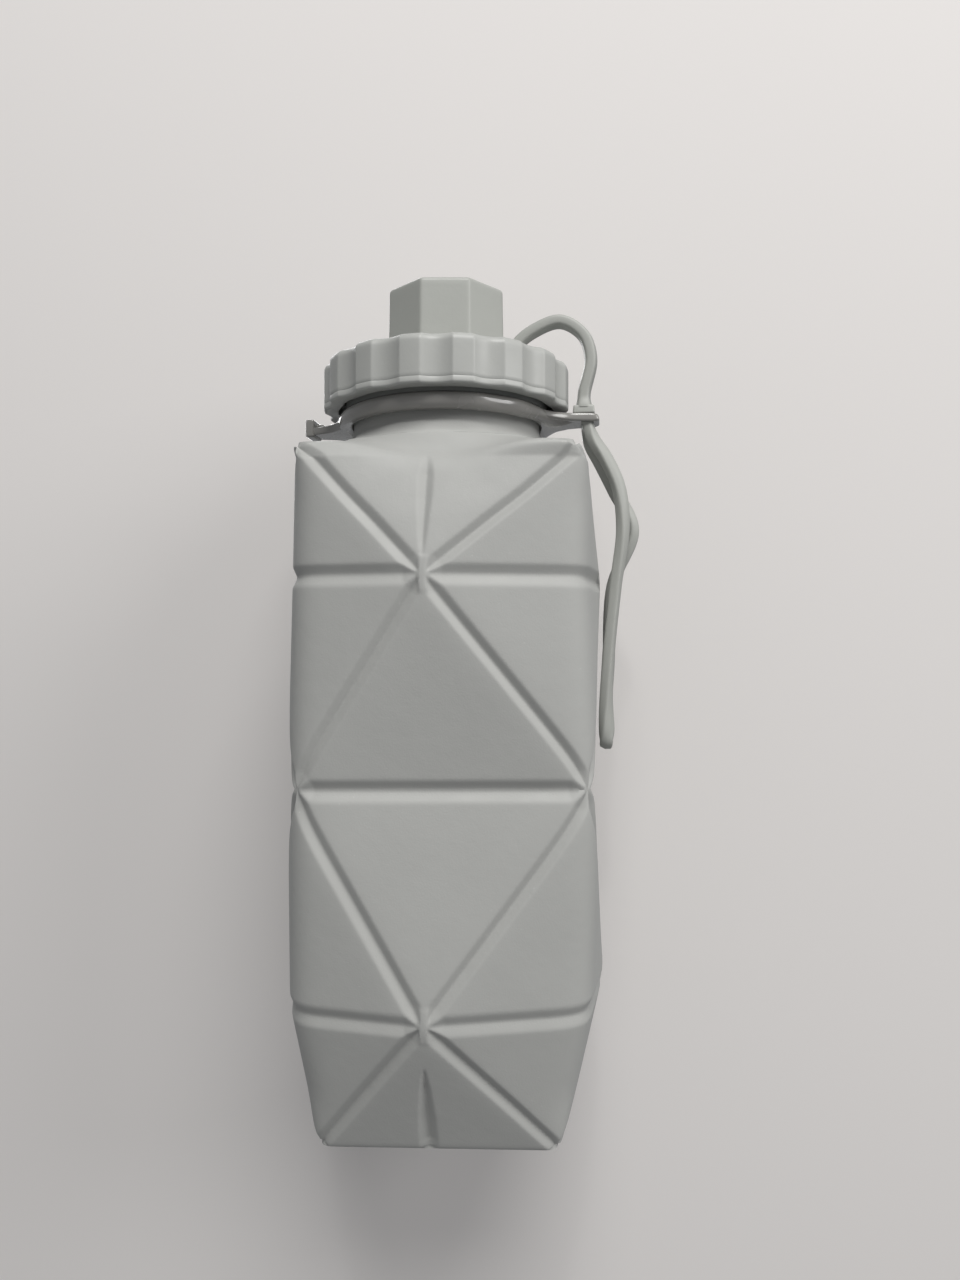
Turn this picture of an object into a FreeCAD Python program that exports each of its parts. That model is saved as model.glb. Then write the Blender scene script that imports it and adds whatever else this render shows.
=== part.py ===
import FreeCAD, Part
import Sketcher
import math
import os

# Folding water bottle, built upright: +Z up, origin at the centre of the flat base, -Y the front face.
# The body is a square soft sleeve with four folding bands between creases. Sizes are millimetres.

DIMENSIONS = {
    # soft body: half widths across the flats, corner radii and heights of its creases
    "wall": 1.8,
    "floor_thick": 3.0,
    "base_half": 28.8,
    "base_round": 3.5,
    "foot_height": 8.0,
    "foot_half": 31.7,
    "foot_round": 9.5,
    "low_height": 34.0,
    "low_half": 41.0,
    "low_round": 29.0,
    "mid_height": 85.5,
    "mid_half": 35.5,
    "mid_round": 6.5,
    "high_height": 134.6,
    "high_half": 40.6,
    "high_round": 31.0,
    "rim_height": 165.0,
    "rim_half": 32.8,
    "rim_round": 4.0,
    "crease_half_width": 2.3,
    "crease_depth": 1.3,
    # shoulder and neck sleeve
    "shoulder_top": 173.0,
    "sleeve_radius": 24.6,
    "sleeve_bore": 22.82,
    "sleeve_top": 178.95,
    "sleeve_lap": 0.01,
    "almost_round": 0.2,
    # stiff neck insert with the lid thread
    "insert_bottom": 166.0,
    "insert_bore": 20.9,
    "insert_tube": 22.8,
    "insert_ledge": 179.0,
    "insert_mouth": 24.2,
    "insert_core": 26.6,
    "insert_step_low": 180.6,
    "insert_step_high": 181.4,
    "insert_top": 188.2,
    # carry ring with its two ears
    "ring_bore": 24.62,
    "ring_outer": 28.6,
    "ring_bottom": 174.6,
    "ring_top": 178.8,
    "ring_round": 1.8,
    "ear_bottom": 175.9,
    "ear_thick": 2.5,
    "ear_half_width": 4.5,
    "ear_inner": 25.6,
    "ear_round": 3.0,
    "right_ear_end": 40.3,
    "left_ear_end": 38.2,
    "left_ear_stop": 37.8,
    "left_ear_half_width": 3.7,
    "left_ear_round": 2.4,
    "ear_hole": 1.6,
    "end_plate_thick": 3.2,
    "end_plate_bottom": 174.5,
    "end_plate_height": 5.4,
    "end_plate_half": 4.0,
    "end_plate_round": 1.0,
    # lid
    "lid_radius": 32.3,
    "lid_bottom": 179.4,
    "lid_top": 191.4,
    "lid_ceiling": 189.4,
    "lid_bore": 28.6,
    "lid_edge": 1.6,
    "scallop_count": 16,
    "scallop_span": 13.3,
    "scallop_depth": 1.1,
    "lid_turn": 2.25,
    "spout_radius": 9.8,
    "spout_bore": 6.5,
    "spout_top": 205.0,
    "gasket_inner": 23.9,
    "gasket_outer": 28.4,
    "gasket_thick": 1.18,
    # lid thread and cap thread: a right-hand ridge on each side, half a pitch apart
    "lid_pitch": 4.0,
    "lid_ridge": 1.3,
    "lid_ridge_tip": 0.6,
    "lid_ridge_rise": 1.35,
    "lid_male_start": 182.6,
    "lid_male_rise": 3.6,
    "lid_female_start": 180.6,
    "lid_female_rise": 5.2,
    "cap_pitch": 3.0,
    "cap_ridge": 1.0,
    "cap_ridge_tip": 0.5,
    "cap_ridge_rise": 0.95,
    "cap_male_start": 195.7,
    "cap_male_rise": 6.6,
    "cap_female_start": 194.2,
    "cap_female_rise": 6.0,
    "ridge_root": 0.3,
    # octagonal screw cap
    "cap_bottom": 193.2,
    "cap_top": 211.0,
    "cap_low_radius": 16.2,
    "cap_high_radius": 15.9,
    "cap_bore": 11.2,
    "cap_ceiling": 206.7,
    "cap_edge": 0.9,
    "cap_turn": 4.5,
    "seal_radius": 11.12,
    "seal_bottom": 205.05,
    "seal_thick": 1.6,
    # tether: collar round the spout, strap, and button on the right ear
    "collar_bore": 9.87,
    "collar_radius": 13.2,
    "collar_bottom": 191.5,
    "collar_thick": 1.5,
    "tab_end": 19.6,
    "tab_half_width": 2.0,
    "tether_width": 4.0,
    "tether_thick": 3.0,
    "tether_start": 18.1,
    "tether_gap": 0.45,
    "tether_bend_across": 19.8,
    "tether_bend_height": 199.2,
    "tether_rise_across": 24.6,
    "tether_rise_height": 203.6,
    "tether_peak_across": 31.0,
    "tether_peak_height": 205.0,
    "tether_turn_across": 36.9,
    "tether_turn_height": 201.6,
    "tether_side_across": 38.6,
    "tether_side_height": 194.6,
    "button_across": 36.3,
    "button_half": 2.85,
    "button_height": 2.3,
    "stem_radius": 1.5,
    "stub_radius": 2.2,
    "stub_bottom": 174.4,
    # wrist strap: a loop of two strands that hangs from the right ear
    "strap_pivot_across": 37.3,
    "strap_pivot_height": 171.6,
    "strap_barrel": 2.0,
    "strap_barrel_half": 3.3,
    "strand_radius": 1.55,
    "strap_bottom": 91.5,
    "strap_end_across": 42.7,
    "upper_level": 159.0,
    "upper_front": 46.0,
    "upper_back": 44.9,
    "bow_level": 148.5,
    "bow_front": 47.0,
    "bow_back": 49.2,
    "cross_level": 134.0,
    "cross_front": 45.6,
    "cross_back": 43.9,
    "lower_level": 109.0,
    "lower_front": 41.8,
    "lower_back": 42.1,
    "strap_half_gap": 2.6,
    "strap_root_gap": 1.65,
}

doc = FreeCAD.newDocument("FoldingBottle")
sheet = doc.addObject("Spreadsheet::Sheet", "Size")
for row, (alias, value) in enumerate(DIMENSIONS.items(), start=1):
    sheet.set(f"A{row}", alias)
    sheet.set(f"B{row}", str(value))
    sheet.setAlias(f"B{row}", alias)
doc.recompute()


def size(alias):
    """The driving dimension of that name, as a number."""
    return float(sheet.get(alias))


def value_of(expression):
    """The number that an expression over the sheet's cells comes to."""
    result = sheet.evalExpression(expression)
    return float(getattr(result, "Value", result))


# ---------------------------------------------------------------- sketches and bodies

def new_body(label):
    body = doc.addObject("PartDesign::Body", label)
    body.Label = label
    return body


def new_sketch(body, name, plane="XZ_Plane", lift=None):
    """A sketch on one of the body's own origin planes, lifted along the plane's normal by an expression."""
    sketch = body.newObject("Sketcher::SketchObject", name)
    origin_plane = next(f for f in body.Origin.OriginFeatures if f.Role == plane)
    sketch.AttachmentSupport = [(origin_plane, "")]
    sketch.MapMode = "FlatFace"
    if lift is not None:
        offset = FreeCAD.Vector(0, 0, value_of(lift))
        sketch.AttachmentOffset = FreeCAD.Placement(offset, FreeCAD.Rotation())
        sketch.setExpression("AttachmentOffset.Base.z", lift)
    return sketch


def bind_coordinate(sketch, kind, geometry, point, expression):
    """Holds one coordinate of a point at an expression, measured from the sketch's origin."""
    number = value_of(expression)
    if abs(number) < 1e-9:
        axis = -2 if kind == "DistanceX" else -1
        sketch.addConstraint(Sketcher.Constraint("PointOnObject", geometry, point, axis))
        return
    if number > 0:
        index = sketch.addConstraint(Sketcher.Constraint(kind, -1, 1, geometry, point, number))
        text = expression
    else:
        index = sketch.addConstraint(Sketcher.Constraint(kind, geometry, point, -1, 1, -number))
        text = f"-({expression})"
    sketch.renameConstraint(index, f"{kind}_{geometry}_{point}")
    sketch.setExpression(f"Constraints.{kind}_{geometry}_{point}", text)


def polygon(sketch, corners):
    """A closed outline of straight lines; each corner is a pair of expressions."""
    spots = [FreeCAD.Vector(value_of(x), value_of(y), 0) for x, y in corners]
    count = len(spots)
    for i in range(count):
        sketch.addGeometry(Part.LineSegment(spots[i], spots[(i + 1) % count]), False)
    for i in range(count):
        sketch.addConstraint(Sketcher.Constraint("Coincident", i, 2, (i + 1) % count, 1))
    for i, (x, y) in enumerate(corners):
        bind_coordinate(sketch, "DistanceX", i, 1, x)
        bind_coordinate(sketch, "DistanceY", i, 1, y)


def rounded_box(sketch, left, right, bottom, top, radius):
    """A closed rectangle with four equal round corners; every argument is an expression."""
    x0, x1, y0, y1, r = (value_of(e) for e in (left, right, bottom, top, radius))
    lines = [((x0 + r, y0), (x1 - r, y0)), ((x1, y0 + r), (x1, y1 - r)),
             ((x1 - r, y1), (x0 + r, y1)), ((x0, y1 - r), (x0, y0 + r))]
    centres = [(x1 - r, y0 + r), (x1 - r, y1 - r), (x0 + r, y1 - r), (x0 + r, y0 + r)]
    for (ax, ay), (bx, by) in lines:
        sketch.addGeometry(Part.LineSegment(FreeCAD.Vector(ax, ay, 0), FreeCAD.Vector(bx, by, 0)), False)
    for i, (cx, cy) in enumerate(centres):
        circle = Part.Circle(FreeCAD.Vector(cx, cy, 0), FreeCAD.Vector(0, 0, 1), r)
        start = -math.pi / 2 + i * math.pi / 2
        sketch.addGeometry(Part.ArcOfCircle(circle, start, start + math.pi / 2), False)
    for i in range(4):
        sketch.addConstraint(Sketcher.Constraint("Tangent", i, 2, 4 + i, 1))
        sketch.addConstraint(Sketcher.Constraint("Tangent", 4 + i, 2, (i + 1) % 4, 1))
    for i in (0, 2):
        sketch.addConstraint(Sketcher.Constraint("Horizontal", i))
        sketch.addConstraint(Sketcher.Constraint("Vertical", i + 1))
    for i in (5, 6, 7):
        sketch.addConstraint(Sketcher.Constraint("Equal", 4, i))
    index = sketch.addConstraint(Sketcher.Constraint("Radius", 4, r))
    sketch.renameConstraint(index, "corner_radius")
    sketch.setExpression("Constraints.corner_radius", radius)
    bind_coordinate(sketch, "DistanceY", 0, 1, bottom)
    bind_coordinate(sketch, "DistanceX", 1, 1, right)
    bind_coordinate(sketch, "DistanceY", 2, 1, top)
    bind_coordinate(sketch, "DistanceX", 3, 1, left)


def circle_at(sketch, x, y, radius):
    """A circle whose centre and radius are expressions."""
    centre = FreeCAD.Vector(value_of(x), value_of(y), 0)
    number = sketch.addGeometry(Part.Circle(centre, FreeCAD.Vector(0, 0, 1), value_of(radius)), False)
    bind_coordinate(sketch, "DistanceX", number, 3, x)
    bind_coordinate(sketch, "DistanceY", number, 3, y)
    index = sketch.addConstraint(Sketcher.Constraint("Radius", number, value_of(radius)))
    sketch.renameConstraint(index, f"radius_{number}")
    sketch.setExpression(f"Constraints.radius_{number}", radius)


def revolve(body, name, corners, kind="Revolution"):
    """Turns a polygon in the XZ plane a full circle about Z; kind Groove cuts instead of adding."""
    sketch = new_sketch(body, f"{name}Outline")
    polygon(sketch, corners)
    feature = body.newObject(f"PartDesign::{kind}", name)
    feature.Profile = sketch
    feature.ReferenceAxis = (sketch, ["V_Axis"])
    feature.Angle = 360
    return feature


def pad(body, name, sketch, length):
    feature = body.newObject("PartDesign::Pad", name)
    feature.Profile = sketch
    feature.Length = value_of(length)
    feature.setExpression("Length", length)
    return feature


def pocket(body, name, sketch, depth):
    feature = body.newObject("PartDesign::Pocket", name)
    feature.Profile = sketch
    feature.Length = value_of(depth)
    feature.setExpression("Length", depth)
    return feature


def loft(body, name, sketches, kind="AdditiveLoft"):
    feature = body.newObject(f"PartDesign::{kind}", name)
    feature.Profile = sketches[0]
    feature.Sections = sketches[1:]
    feature.Ruled = True
    return feature


def thread(body, name, prefix, side, root, direction):
    """A helical ridge of trapezoid section. direction +1 stands out of a shaft, -1 stands into a bore."""
    ridge, tip = f"Size.{prefix}_ridge / 2", f"Size.{prefix}_ridge_tip / 2"
    start = f"Size.{prefix}_{side}_start"
    inner = f"{root} - {direction} * Size.ridge_root"
    outer = f"{root} + {direction} * Size.{prefix}_ridge_rise"
    sketch = new_sketch(body, f"{name}Section")
    polygon(sketch, [(inner, f"{start} - {ridge}"), (outer, f"{start} - {tip}"),
                     (outer, f"{start} + {tip}"), (inner, f"{start} + {ridge}")])
    feature = body.newObject("PartDesign::AdditiveHelix", name)
    feature.Profile = sketch
    feature.ReferenceAxis = (sketch, ["V_Axis"])
    feature.Mode = 0
    feature.Pitch = value_of(f"Size.{prefix}_pitch")
    feature.Height = value_of(f"Size.{prefix}_{side}_rise")
    feature.setExpression("Pitch", f"Size.{prefix}_pitch")
    feature.setExpression("Height", f"Size.{prefix}_{side}_rise")
    return feature


def turn(body, alias):
    """Turns a screwed piece about Z by the angle, in degrees, at which it comes to rest."""
    angle = FreeCAD.Rotation(FreeCAD.Vector(0, 0, 1), size(alias))
    body.Placement = FreeCAD.Placement(FreeCAD.Vector(), angle)


def square_section(body, name, height, half, corner):
    """One level of the soft body: a square with round corners, across the flats twice half."""
    sketch = new_sketch(body, name, "XY_Plane", height)
    rounded_box(sketch, f"-({half})", half, f"-({half})", half, corner)
    return sketch


# ---------------------------------------------------------------- soft body

def crease_levels():
    """Height, half width and corner radius up the folding wall; each crease is a V between two lips."""
    levels = [("Size.foot_height", "Size.foot_half", "Size.foot_round")]
    for band in ("low", "mid", "high"):
        height, half, corner = f"Size.{band}_height", f"Size.{band}_half", f"Size.{band}_round"
        levels += [(f"{height} - Size.crease_half_width", half, corner),
                   (height, f"{half} - Size.crease_depth", corner),
                   (f"{height} + Size.crease_half_width", half, corner)]
    return levels + [("Size.rim_height", "Size.rim_half", "Size.rim_round")]


def make_base_foot():
    """The thick flat bottom of the soft body, which carries the bottle."""
    body = new_body("base_foot")
    outside = [square_section(body, "FootBottom", "0", "Size.base_half", "Size.base_round"),
               square_section(body, "FootTop", "Size.foot_height", "Size.foot_half", "Size.foot_round")]
    loft(body, "FootOutside", outside)
    slope = "(Size.foot_half - Size.base_half) * Size.floor_thick / Size.foot_height"
    inside = [square_section(body, "FloorEdge", "Size.floor_thick",
                             f"Size.base_half + {slope} - Size.wall", "Size.base_round - Size.wall"),
              square_section(body, "FootMouth", "Size.foot_height",
                             "Size.foot_half - Size.wall", "Size.foot_round - Size.wall")]
    loft(body, "FootInside", inside, "SubtractiveLoft")
    return body


def make_folding_wall():
    """The thin creased wall that folds down between the foot and the shoulder."""
    body = new_body("folding_wall")
    outside = [square_section(body, f"WallOutside{i}", *level) for i, level in enumerate(crease_levels())]
    loft(body, "WallOutside", outside)
    inside = [square_section(body, f"WallInside{i}", height, f"{half} - Size.wall", f"{corner} - Size.wall")
              for i, (height, half, corner) in enumerate(crease_levels())]
    loft(body, "WallInside", inside, "SubtractiveLoft")
    return body


def make_shoulder():
    """The top of the soft body: it closes from the square rim to the round sleeve round the neck insert."""
    body = new_body("shoulder")
    outside = [square_section(body, "RimOutside", "Size.rim_height", "Size.rim_half", "Size.rim_round"),
               square_section(body, "ShoulderTop", "Size.shoulder_top", "Size.sleeve_radius",
                              "Size.sleeve_radius - Size.almost_round")]
    loft(body, "ShoulderOutside", outside)
    inside = [square_section(body, "RimInside", "Size.rim_height",
                             "Size.rim_half - Size.wall", "Size.rim_round - Size.wall"),
              square_section(body, "ShoulderCeiling", "Size.shoulder_top - Size.wall", "Size.sleeve_bore",
                             "Size.sleeve_bore - Size.almost_round")]
    loft(body, "ShoulderInside", inside, "SubtractiveLoft")
    revolve(body, "NeckBore", [("0", "Size.rim_height"), ("Size.sleeve_bore", "Size.rim_height"),
                               ("Size.sleeve_bore", "Size.sleeve_top"), ("0", "Size.sleeve_top")], "Groove")
    revolve(body, "Sleeve", [("Size.sleeve_bore", "Size.shoulder_top - Size.wall"),
                             ("Size.sleeve_radius - Size.sleeve_lap", "Size.shoulder_top - Size.wall"),
                             ("Size.sleeve_radius - Size.sleeve_lap", "Size.sleeve_top"),
                             ("Size.sleeve_bore", "Size.sleeve_top")])
    return body


# ---------------------------------------------------------------- neck

def make_neck_insert():
    """The stiff mouth: a tube held in the soft sleeve, a step out and the male lid thread."""
    body = new_body("neck_insert")
    revolve(body, "InsertTube", [("Size.insert_bore", "Size.insert_bottom"),
                                 ("Size.insert_tube", "Size.insert_bottom"),
                                 ("Size.insert_tube", "Size.insert_ledge"),
                                 ("Size.insert_core", "Size.insert_ledge"),
                                 ("Size.insert_core", "Size.insert_top"),
                                 ("Size.insert_mouth", "Size.insert_top"),
                                 ("Size.insert_mouth", "Size.insert_step_high"),
                                 ("Size.insert_bore", "Size.insert_step_low")])
    doc.recompute()
    thread(body, "LidThread", "lid", "male", "Size.insert_core", 1)
    return body


def make_carry_ring():
    """The bead round the neck with a flat ear on each side; the left ear ends in an upright plate."""
    body = new_body("carry_ring")
    bead = new_sketch(body, "BeadSection")
    rounded_box(bead, "Size.ring_bore", "Size.ring_outer", "Size.ring_bottom", "Size.ring_top",
                "Size.ring_round")
    ring = body.newObject("PartDesign::Revolution", "Bead")
    ring.Profile = bead
    ring.ReferenceAxis = (bead, ["V_Axis"])
    ring.Angle = 360
    right = new_sketch(body, "RightEarPlan", "XY_Plane", "Size.ear_bottom")
    rounded_box(right, "Size.ear_inner", "Size.right_ear_end", "-Size.ear_half_width", "Size.ear_half_width",
                "Size.ear_round")
    pad(body, "RightEar", right, "Size.ear_thick")
    left = new_sketch(body, "LeftEarPlan", "XY_Plane", "Size.ear_bottom")
    rounded_box(left, "-Size.left_ear_stop", "-Size.ear_inner", "-Size.left_ear_half_width",
                "Size.left_ear_half_width", "Size.left_ear_round")
    pad(body, "LeftEar", left, "Size.ear_thick")
    plate = new_sketch(body, "EndPlatePlan", "XY_Plane", "Size.end_plate_bottom")
    rounded_box(plate, "-Size.left_ear_end", "-Size.left_ear_end + Size.end_plate_thick",
                "-Size.end_plate_half", "Size.end_plate_half", "Size.end_plate_round")
    pad(body, "EndPlate", plate, "Size.end_plate_height")
    doc.recompute()
    hole = new_sketch(body, "EarHolePlan", "XY_Plane", "Size.ear_bottom + Size.ear_thick")
    circle_at(hole, "Size.button_across", "0", "Size.ear_hole")
    pocket(body, "EarHole", hole, "2 * Size.ear_thick")
    return body


# ---------------------------------------------------------------- lid and its gasket

def make_lid():
    """The scalloped screw lid with the drinking spout on top."""
    body = new_body("lid")
    bevel = "Size.lid_edge * 0.3"
    revolve(body, "LidShell", [("Size.lid_bore", "Size.lid_bottom"),
                               ("Size.lid_radius - Size.lid_edge / 4", "Size.lid_bottom"),
                               ("Size.lid_radius", "Size.lid_bottom + Size.lid_edge / 4"),
                               ("Size.lid_radius", "Size.lid_top - Size.lid_edge"),
                               (f"Size.lid_radius - {bevel}", f"Size.lid_top - {bevel}"),
                               ("Size.lid_radius - Size.lid_edge", "Size.lid_top"),
                               ("Size.spout_radius", "Size.lid_top"),
                               ("Size.spout_radius", "Size.spout_top"),
                               ("Size.spout_bore", "Size.spout_top"),
                               ("Size.spout_bore", "Size.lid_ceiling"),
                               ("Size.lid_bore", "Size.lid_ceiling")])
    doc.recompute()
    flute = new_sketch(body, "ScallopPlan", "XY_Plane", "Size.lid_bottom")
    half = "Size.scallop_span / 2 * 1deg"
    chord = f"Size.lid_radius * sin({half})"
    sag = f"(Size.scallop_depth - Size.lid_radius * (1 - cos({half})))"
    flute_radius = f"(({chord}) ^ 2 + {sag} ^ 2) / (2 * {sag})"
    circle_at(flute, f"Size.lid_radius - Size.scallop_depth + {flute_radius}", "0", flute_radius)
    cut = pocket(body, "Scallop", flute, "Size.lid_top")
    cut.Reversed = True
    doc.recompute()
    ring = body.newObject("PartDesign::PolarPattern", "Scallops")
    ring.Originals = [cut]
    ring.Axis = (flute, ["N_Axis"])
    ring.Angle = 360
    ring.Occurrences = int(size("scallop_count"))
    body.Tip = ring
    doc.recompute()
    thread(body, "LidThread", "lid", "female", "Size.lid_bore", -1)
    doc.recompute()
    thread(body, "SpoutThread", "cap", "male", "Size.spout_radius", 1)
    turn(body, "lid_turn")
    return body


def make_lid_gasket():
    """The flat soft ring under the lid's ceiling that seals on the mouth."""
    body = new_body("lid_gasket")
    low = "Size.lid_ceiling - Size.gasket_thick"
    high = "Size.lid_ceiling"
    revolve(body, "Gasket", [("Size.gasket_inner", low), ("Size.gasket_outer", low),
                             ("Size.gasket_outer", high), ("Size.gasket_inner", high)])
    return body


# ---------------------------------------------------------------- octagonal cap and its seal

def octagon(body, name, height, radius):
    sketch = new_sketch(body, name, "XY_Plane", height)
    angles = [22.5 + 45 * i for i in range(8)]
    polygon(sketch, [(f"({radius}) * cos({a} deg)", f"({radius}) * sin({a} deg)") for a in angles])
    return sketch


def make_screw_cap():
    """The eight-sided cap that screws on the spout."""
    body = new_body("screw_cap")
    edge = "Size.cap_top - Size.cap_edge"
    head_radius = "Size.cap_high_radius - Size.cap_edge"
    loft(body, "CapOutside", [octagon(body, "CapFoot", "Size.cap_bottom", "Size.cap_low_radius"),
                              octagon(body, "CapShoulder", edge, "Size.cap_high_radius"),
                              octagon(body, "CapHead", "Size.cap_top", head_radius)])
    doc.recompute()
    below = "Size.cap_bottom - Size.cap_edge"
    revolve(body, "CapBore", [("0", below), ("Size.cap_bore", below),
                              ("Size.cap_bore", "Size.cap_ceiling"), ("0", "Size.cap_ceiling")], "Groove")
    doc.recompute()
    thread(body, "CapThread", "cap", "female", "Size.cap_bore", -1)
    turn(body, "cap_turn")
    return body


def make_cap_seal():
    """The soft disc inside the cap that closes the spout."""
    body = new_body("cap_seal")
    low, high = "Size.seal_bottom", "Size.seal_bottom + Size.seal_thick"
    revolve(body, "Seal", [("0", low), ("Size.seal_radius", low), ("Size.seal_radius", high), ("0", high)])
    return body


# ---------------------------------------------------------------- tether

def make_tether_collar():
    """The thin eye of the tether round the spout, under the cap, with the tab that carries the strap."""
    body = new_body("tether_collar")
    plan = new_sketch(body, "CollarPlan", "XY_Plane", "Size.collar_bottom")
    circle_at(plan, "0", "0", "Size.collar_radius")
    pad(body, "CollarDisc", plan, "Size.collar_thick")
    tab = new_sketch(body, "TabPlan", "XY_Plane", "Size.collar_bottom")
    rounded_box(tab, "Size.collar_bore", "Size.tab_end", "-Size.tab_half_width", "Size.tab_half_width",
                "Size.tab_half_width / 2")
    pad(body, "Tab", tab, "Size.collar_thick")
    doc.recompute()
    hole = new_sketch(body, "CollarHolePlan", "XY_Plane", "Size.collar_bottom + Size.collar_thick")
    circle_at(hole, "0", "0", "Size.collar_bore")
    pocket(body, "CollarHole", hole, "2 * Size.collar_thick")
    return body


def sweep_feature(label, path, profile):
    """A Part::Feature whose solid carries a flat profile along a smooth path."""
    shape = Part.Wire([path]).makePipeShell([profile], True, False)
    feature = doc.addObject("Part::Feature", label)
    feature.Label = label
    feature.Shape = shape
    return feature


def smooth_path(points):
    """One smooth curve through the points."""
    curve = Part.BSplineCurve()
    curve.interpolate([FreeCAD.Vector(*point) for point in points])
    return curve.toShape()


def make_tether_strap():
    """The soft strap that arches from the collar's tab over the lid and down to the button."""
    start = (size("tether_start"), 0, size("collar_bottom") + size("collar_thick") + size("tether_gap"))
    button_top = size("ear_bottom") + size("ear_thick") + size("button_height") + size("tether_gap")
    knees = [(size(f"tether_{knee}_across"), 0, size(f"tether_{knee}_height"))
             for knee in ("bend", "rise", "peak", "turn", "side")]
    path = smooth_path([start] + knees + [(size("button_across"), 0, button_top)])
    across = FreeCAD.Vector(0, 1, 0)
    origin = FreeCAD.Vector(*start)
    outward = path.tangentAt(path.FirstParameter).cross(across)
    section = Part.Ellipse(origin + across * (size("tether_width") / 2),
                           origin + outward * (size("tether_thick") / 2), origin)
    return sweep_feature("tether_strap", path, Part.Wire([section.toShape()]))


def make_tether_button():
    """The square end of the tether on the right ear, with its stem through the ear and the stub below."""
    body = new_body("tether_button")
    ear_top = "Size.ear_bottom + Size.ear_thick"
    plan = new_sketch(body, "ButtonPlan", "XY_Plane", ear_top)
    rounded_box(plan, "Size.button_across - Size.button_half", "Size.button_across + Size.button_half",
                "-Size.button_half", "Size.button_half", "Size.button_half / 4")
    pad(body, "Button", plan, "Size.button_height")
    stem = new_sketch(body, "StemPlan", "XY_Plane", "Size.stub_bottom")
    circle_at(stem, "Size.button_across", "0", "Size.stem_radius")
    pad(body, "Stem", stem, f"{ear_top} - Size.stub_bottom")
    stub = new_sketch(body, "StubPlan", "XY_Plane", "Size.stub_bottom")
    circle_at(stub, "Size.button_across", "0", "Size.stub_radius")
    pad(body, "Stub", stub, "Size.ear_bottom - Size.stub_bottom")
    return body


# ---------------------------------------------------------------- wrist strap

def strand(points, radius):
    """A round strand along one smooth curve."""
    path = smooth_path(points)
    tangent = path.tangentAt(path.FirstParameter)
    section = Part.Wire([Part.Circle(FreeCAD.Vector(*points[0]), tangent, radius).toShape()])
    return Part.Wire([path]).makePipeShell([section], True, False)


def crossbar(across, height, radius, half_length):
    """A short round bar along Y."""
    return Part.makeCylinder(radius, 2 * half_length, FreeCAD.Vector(across, -half_length, height),
                             FreeCAD.Vector(0, 1, 0))


def make_wrist_strap():
    """Two round strands joined by a short bar at the top, where the loop swings, and by one at the bottom."""
    top = (size("strap_pivot_across"), size("strap_pivot_height"))
    foot = (size("strap_end_across"), size("strap_bottom") + size("strand_radius"))
    loop = crossbar(*top, size("strap_barrel"), size("strap_barrel_half"))
    loop = loop.fuse(crossbar(*foot, size("strand_radius"), size("strap_half_gap") + size("strand_radius")))
    for side, sign in (("front", -1), ("back", 1)):
        points = [(top[0], sign * size("strap_root_gap"), top[1])]
        for level in ("upper", "bow", "cross", "lower"):
            points.append((size(f"{level}_{side}"), sign * size("strap_half_gap"), size(f"{level}_level")))
        points.append((foot[0], sign * size("strap_half_gap"), foot[1]))
        loop = loop.fuse(strand(points, size("strand_radius")))
    feature = doc.addObject("Part::Feature", "wrist_strap")
    feature.Label = "wrist_strap"
    feature.Shape = loop
    return feature


PIECES = [make_base_foot, make_folding_wall, make_shoulder, make_neck_insert, make_carry_ring, make_lid,
          make_lid_gasket, make_screw_cap, make_cap_seal, make_tether_collar, make_tether_strap,
          make_tether_button, make_wrist_strap]

pieces = [make() for make in PIECES]
doc.recompute()

for thing in doc.Objects:
    if "Invalid" in thing.State or "Error" in thing.State:
        raise RuntimeError(f"{thing.Name} did not build: {thing.State}")
for piece in pieces:
    if piece.Shape.isNull() or not piece.Shape.isValid() or len(piece.Shape.Solids) != 1:
        raise RuntimeError(f"{piece.Label} is not one valid solid")

os.makedirs("parts", exist_ok=True)
for piece in pieces:
    piece.Shape.exportStep(f"parts/{piece.Label}.step")
    box = piece.Shape.optimalBoundingBox(True)
    print(f"{piece.Label:15s} volume {piece.Shape.Volume:9.1f}  x {box.XMin:7.2f} {box.XMax:7.2f}"
          f"  y {box.YMin:7.2f} {box.YMax:7.2f}  z {box.ZMin:7.2f} {box.ZMax:7.2f}")
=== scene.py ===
import math

import bmesh
import bpy
import numpy as np
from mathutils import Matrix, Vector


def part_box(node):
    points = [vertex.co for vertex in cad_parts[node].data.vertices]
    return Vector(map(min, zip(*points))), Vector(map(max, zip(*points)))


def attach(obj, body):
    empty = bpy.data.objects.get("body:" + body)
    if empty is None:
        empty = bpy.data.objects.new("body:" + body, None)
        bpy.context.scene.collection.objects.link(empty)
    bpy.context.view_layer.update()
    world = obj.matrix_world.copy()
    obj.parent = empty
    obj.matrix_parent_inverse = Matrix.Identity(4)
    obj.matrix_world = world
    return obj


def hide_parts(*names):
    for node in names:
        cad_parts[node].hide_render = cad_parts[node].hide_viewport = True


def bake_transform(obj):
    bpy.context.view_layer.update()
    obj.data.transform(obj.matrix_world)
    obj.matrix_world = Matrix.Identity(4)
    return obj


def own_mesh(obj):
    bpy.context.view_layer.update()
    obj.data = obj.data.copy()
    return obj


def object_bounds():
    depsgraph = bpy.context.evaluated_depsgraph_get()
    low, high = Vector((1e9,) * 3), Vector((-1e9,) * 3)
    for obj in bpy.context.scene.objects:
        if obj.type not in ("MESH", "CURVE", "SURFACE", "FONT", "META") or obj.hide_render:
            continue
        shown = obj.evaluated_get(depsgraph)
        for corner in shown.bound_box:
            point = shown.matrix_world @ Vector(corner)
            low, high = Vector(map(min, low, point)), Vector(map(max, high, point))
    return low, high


# Folding water bottle. Lengths in this script are millimetres until a mesh is made; the scene is in metres.
# +Z is up, the front looks towards -Y, and the ear that carries the straps is at +X.

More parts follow.
